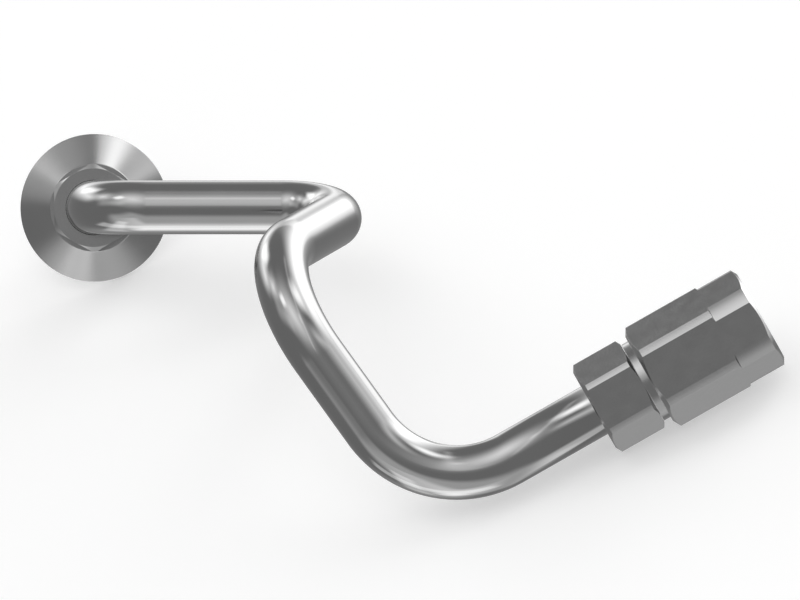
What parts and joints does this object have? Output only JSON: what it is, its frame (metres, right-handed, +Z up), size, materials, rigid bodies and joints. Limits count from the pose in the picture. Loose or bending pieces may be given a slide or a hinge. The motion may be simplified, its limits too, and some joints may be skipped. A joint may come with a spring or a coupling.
{
  "type": "bent tube assembly",
  "caption": "Hollow steel tube bent in several planes, with a nut and a round conical flange at one end and a nut and a long hexagonal connector with a threaded port at the other.",
  "frame": {"origin": "bottom centre of the assembly as it lies at rest on its flange rim, its connector nut and its connector", "axes": "+X runs level from the flange towards the connector, which is the longest way; +Z is up"},
  "size_m": [0.3664, 0.138, 0.0941],
  "materials": {
    "tube_steel": "polished along the tube",
    "turned_steel": "fine turned, with the tool's rings",
    "hexagon_steel": "satin drawn bar with turned corners",
    "ring_steel": "plain turned"
  },
  "bodies": {
    "root": {"bent_tube": "tube_steel", "flange_body": "turned_steel", "flange_nut": "hexagon_steel", "flange_ring": "ring_steel", "connector_body": "hexagon_steel", "connector_nut": "hexagon_steel", "connector_ring": "ring_steel"}
  },
  "joints": []
}
